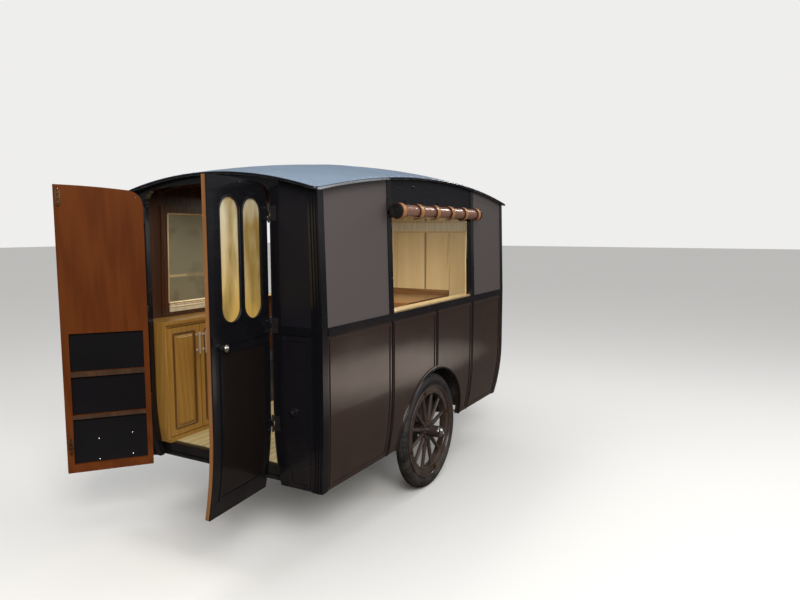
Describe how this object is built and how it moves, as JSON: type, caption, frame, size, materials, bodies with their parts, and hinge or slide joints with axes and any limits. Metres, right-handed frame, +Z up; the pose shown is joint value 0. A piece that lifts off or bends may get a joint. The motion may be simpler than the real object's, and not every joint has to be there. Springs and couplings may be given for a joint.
{
  "type": "two-wheel hard-sided camping trailer",
  "caption": "Early two-wheel camping trailer: a box cabin with a domed roof, two hinged rear doors, rolled side curtains, spoked wooden wheels and a V drawbar on a folding prop.",
  "frame": {"origin": "centre of the drawbar eye's bore, half-way through its thickness", "axes": "+X forward along the drawbar, +Y to the left, +Z up; the ground is at z = -0.330"},
  "size_m": [3.777, 1.6198, 2.1398],
  "materials": {
    "black_iron": "black painted iron, satin",
    "gloss_black": "gloss black enamel",
    "body_panel": "gloss, very dark brown",
    "leatherette": "grey-brown leatherette, fine grain, satin",
    "roof_paint": "bluish grey, half gloss",
    "black_frame": "black paint, satin",
    "lining_board": "orange-brown varnished board",
    "oak": "golden varnished oak",
    "floor_board": "pale bare boards",
    "wheel_wood": "dark brown painted wood with an iron rim",
    "tyre": "dark grey rubber",
    "nickel": "nickel plate, slightly dull",
    "amber_glass": "yellow-gold frosted glass",
    "curtain_hide": "brown coated cloth, rolled, glossy",
    "strap_leather": "tan leather",
    "mirror": "old mirror glass"
  },
  "bodies": {
    "wagon_body": {"axle": "black_iron", "belt_rail": "gloss_black", "chassis_rails": "black_frame", "corner_posts": "gloss_black", "coupling": "black_iron", "cross_members": "black_frame", "curtain_header_panels": "leatherette", "curtain_rolls": "curtain_hide", "curtain_straps": "strap_leather", "door_header": "gloss_black", "door_jambs": "gloss_black", "drawbar_legs": "black_frame", "end_sills": "gloss_black", "floor_deck": "floor_board", "front_counter": "lining_board", "front_lower_panel": "body_panel", "front_upper_panel": "leatherette", "hinge_plates": "black_iron", "kitchen_cabinet": "oak", "leaf_springs": "black_iron", "lower_arch_panels": "body_panel", "lower_front_panels": "body_panel", "lower_rear_panels": "body_panel", "mirror_frame": "lining_board", "mirror_glass": "mirror", "quarter_posts": "gloss_black", "rear_right_lower_panel": "body_panel", "rear_right_upper_panel": "leatherette", "roof": "roof_paint", "stand_bracket": "black_iron", "upper_front_panels": "leatherette", "upper_rear_panels": "leatherette", "wheel_housings": "body_panel"},
    "wheel_assembly_right": {"tyre_right": "tyre", "wheel_right": "wheel_wood", "hub_cap_right": "nickel"},
    "wheel_assembly_left": {"tyre_left": "tyre", "wheel_left": "wheel_wood", "hub_cap_left": "nickel"},
    "rear_door_right": {"door_right_skin": "body_panel", "door_right_lining": "lining_board", "door_right_panes": "amber_glass", "door_right_knob": "nickel"},
    "rear_door_left": {"door_left_skin": "body_panel", "door_left_lining": "lining_board", "door_left_bolts": "nickel"},
    "prop_stand": {"prop_stand": "black_iron"},
    "cabinet_door_rear": {"cabinet_door_rear": "oak"},
    "cabinet_door_front": {"cabinet_door_front": "oak"}
  },
  "joints": [
    {"name": "wheel_right_spin", "type": "hinge", "parent": "wagon_body", "child": "wheel_assembly_right", "pos_m": [-2.052, -0.651, 0.051], "axis": [0, 1, 0], "continuous": true},
    {"name": "wheel_left_spin", "type": "hinge", "parent": "wagon_body", "child": "wheel_assembly_left", "pos_m": [-2.052, 0.651, 0.051], "axis": [0, 1, 0], "continuous": true},
    {"name": "rear_door_right_hinge", "type": "hinge", "parent": "wagon_body", "child": "rear_door_right", "pos_m": [-3.288, -0.375, 0.87], "axis": [0, 0, 1], "range_deg": [-96, 60]},
    {"name": "rear_door_left_hinge", "type": "hinge", "parent": "wagon_body", "child": "rear_door_left", "pos_m": [-3.288, 0.545, 0.87], "axis": [0, 0, -1], "range_deg": [-129, 10]},
    {"name": "prop_stand_hinge", "type": "hinge", "parent": "wagon_body", "child": "prop_stand", "pos_m": [-0.38, 0, -0.058], "axis": [0, 1, 0], "range_deg": [0, 95]},
    {"name": "cabinet_door_rear_hinge", "type": "hinge", "parent": "wagon_body", "child": "cabinet_door_rear", "pos_m": [-3.205, 0.479, 0.47], "axis": [0, 0, -1], "range_deg": [0, 85]},
    {"name": "cabinet_door_front_hinge", "type": "hinge", "parent": "wagon_body", "child": "cabinet_door_front", "pos_m": [-2.731, 0.479, 0.47], "axis": [0, 0, 1], "range_deg": [0, 85]}
  ]
}
